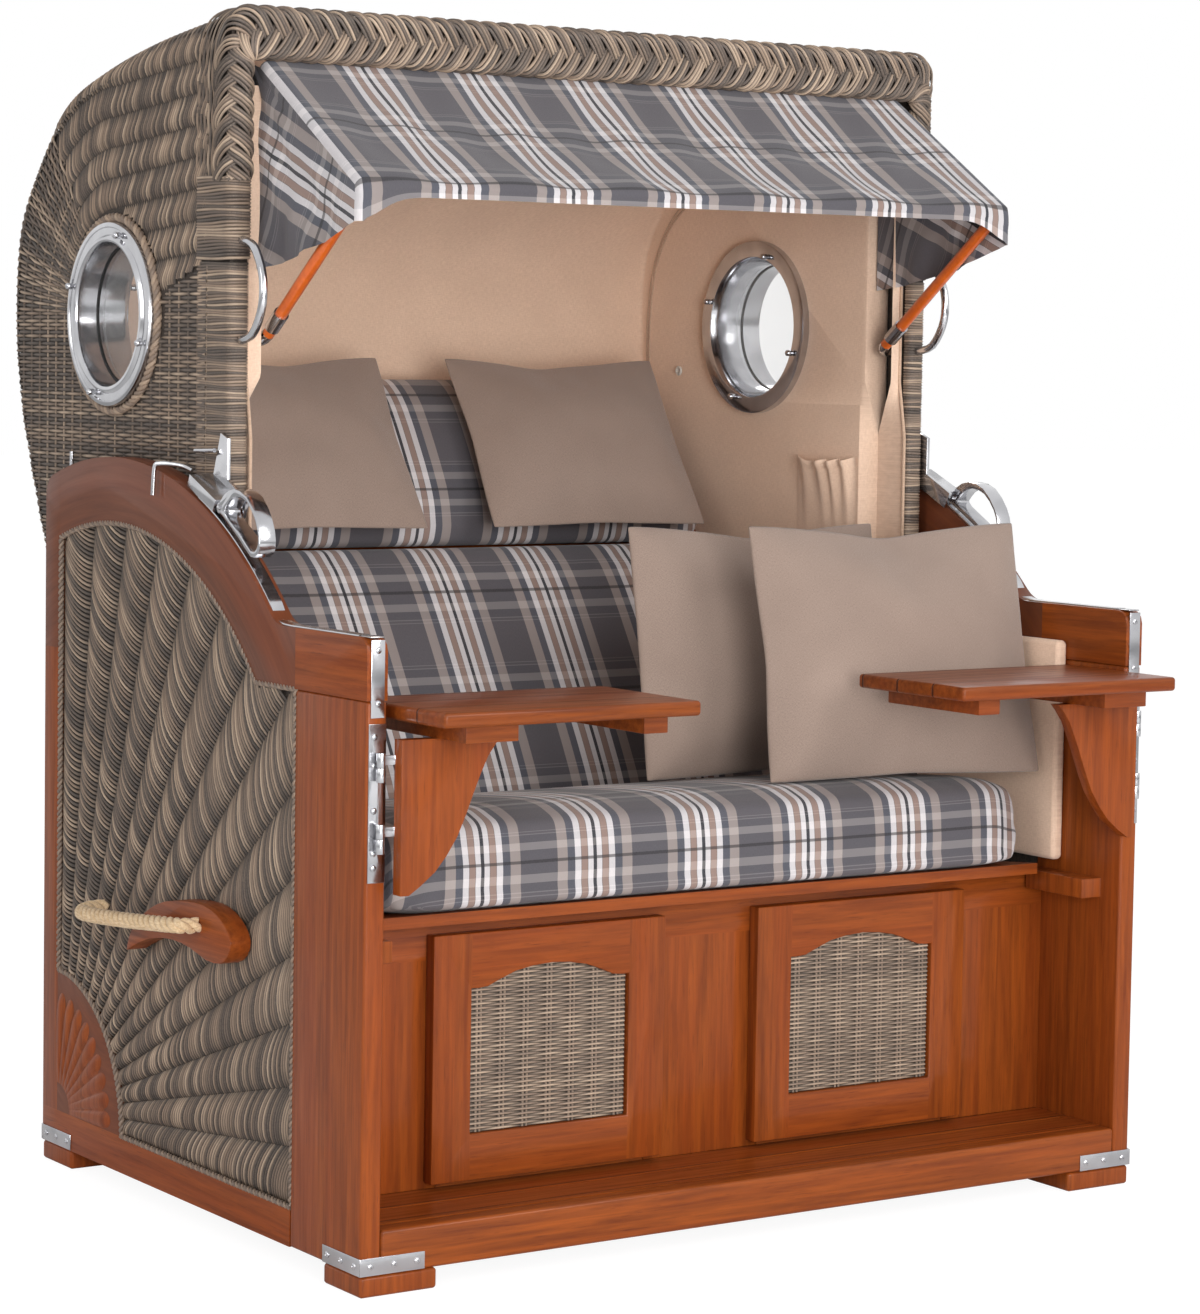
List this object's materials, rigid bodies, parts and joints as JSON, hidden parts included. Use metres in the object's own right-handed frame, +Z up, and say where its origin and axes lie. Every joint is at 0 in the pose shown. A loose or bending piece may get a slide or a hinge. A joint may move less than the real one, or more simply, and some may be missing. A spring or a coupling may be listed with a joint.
{
  "type": "hooded beach chair",
  "caption": "Two-seat hooded beach chair: mahogany base with wicker sides, reclining wicker hood with portholes and awning, plaid cushions, side tables and pull-out footrests",
  "frame": {"origin": "on the floor, under the middle of the chair's outer box", "axes": "+Z up, the sitter looks along -Y, +X to the right as seen from the front"},
  "size_m": [1.393, 1.2304, 1.6],
  "materials": {
    "mahogany": "clear gloss lacquer over reddish mahogany",
    "wicker": "woven grey-brown plastic cane",
    "polished_steel": "polished stainless steel",
    "plaid_cloth": "woven striped canvas over foam",
    "taupe_cloth": "melange taupe cloth over a soft filling",
    "beige_canvas": "padded canvas lining",
    "hemp_rope": "laid natural rope",
    "porthole_glass": "clear pane",
    "orange_tube": "orange-brown coated steel tube"
  },
  "bodies": {
    "base": {"front_rail": "mahogany", "rear_panel": "mahogany", "deck": "mahogany", "seat_box": "mahogany", "seat_board": "mahogany", "seat_cushion": "plaid_cloth", "pillow_front": "taupe_cloth", "pillow_back": "taupe_cloth", "front_post_left": "mahogany", "front_post_right": "mahogany", "side_frame_left": "mahogany", "side_frame_right": "mahogany", "side_wicker_left": "wicker", "side_wicker_right": "wicker", "handle_board_left": "mahogany", "handle_board_right": "mahogany", "rope_handle_left": "hemp_rope", "rope_handle_right": "hemp_rope", "foot_front_left": "mahogany", "foot_front_right": "mahogany", "foot_rear_left": "mahogany", "foot_rear_right": "mahogany", "side_lining_left": "beige_canvas", "side_lining_right": "beige_canvas", "hood_pin_left": "polished_steel", "hood_pin_right": "polished_steel", "table_hinge_left": "polished_steel", "table_hinge_right": "polished_steel"},
    "hood": {"hood_shell": "wicker", "hood_rim": "wicker", "hood_lining": "beige_canvas", "backrest_board": "mahogany", "back_cushion_lower": "plaid_cloth", "back_cushion_upper": "plaid_cloth", "awning_cloth": "plaid_cloth", "hood_arm_left": "mahogany", "hood_arm_right": "mahogany", "porthole_left": "polished_steel", "porthole_right": "polished_steel", "porthole_glass_left": "porthole_glass", "porthole_glass_right": "porthole_glass", "neck_pillow_left": "taupe_cloth", "neck_pillow_right": "taupe_cloth", "grab_handle_left": "polished_steel", "grab_handle_right": "polished_steel", "latch_plate_left": "polished_steel", "latch_plate_right": "polished_steel"},
    "awning": {"awning_frame": "orange_tube"},
    "table_left": {"table_top_left": "mahogany", "table_bracket_left": "mahogany"},
    "footrest_left": {"footrest_front_left": "mahogany", "footrest_wicker_left": "wicker", "footrest_box_left": "mahogany"},
    "latch_left": {"latch_grip_left": "polished_steel"},
    "table_right": {"table_top_right": "mahogany", "table_bracket_right": "mahogany"},
    "footrest_right": {"footrest_front_right": "mahogany", "footrest_wicker_right": "wicker", "footrest_box_right": "mahogany"},
    "latch_right": {"latch_grip_right": "polished_steel"}
  },
  "joints": [
    {"name": "hood_recline", "type": "hinge", "parent": "base", "child": "hood", "pos_m": [0, 0.18418, 0.383], "axis": [-1, 0, 0], "range_deg": [0, 45]},
    {"name": "awning_fold", "type": "hinge", "parent": "hood", "child": "awning", "pos_m": [0, -0.03483, 1.165], "axis": [-1, 0, 0], "range_deg": [0, 50], "deforming": ["awning_cloth"]},
    {"name": "table_left_swing", "type": "hinge", "parent": "base", "child": "table_left", "pos_m": [-0.6105, -0.51033, 0.6], "axis": [0, 0, -1], "range_deg": [0, 155]},
    {"name": "footrest_left_pull", "type": "slide", "parent": "base", "child": "footrest_left", "axis": [0, -1, 0], "range_m": [0, 0.28]},
    {"name": "latch_left_lift", "type": "hinge", "parent": "hood", "child": "latch_left", "pos_m": [0, -0.10966, 0.94987], "axis": [-1, 0, 0], "range_deg": [0, 30]},
    {"name": "table_right_swing", "type": "hinge", "parent": "base", "child": "table_right", "pos_m": [0.6105, -0.51033, 0.6], "axis": [0, 0, 1], "range_deg": [0, 155]},
    {"name": "footrest_right_pull", "type": "slide", "parent": "base", "child": "footrest_right", "axis": [0, -1, 0], "range_m": [0, 0.28]},
    {"name": "latch_right_lift", "type": "hinge", "parent": "hood", "child": "latch_right", "pos_m": [0, -0.10966, 0.94987], "axis": [-1, 0, 0], "range_deg": [0, 30]}
  ]
}
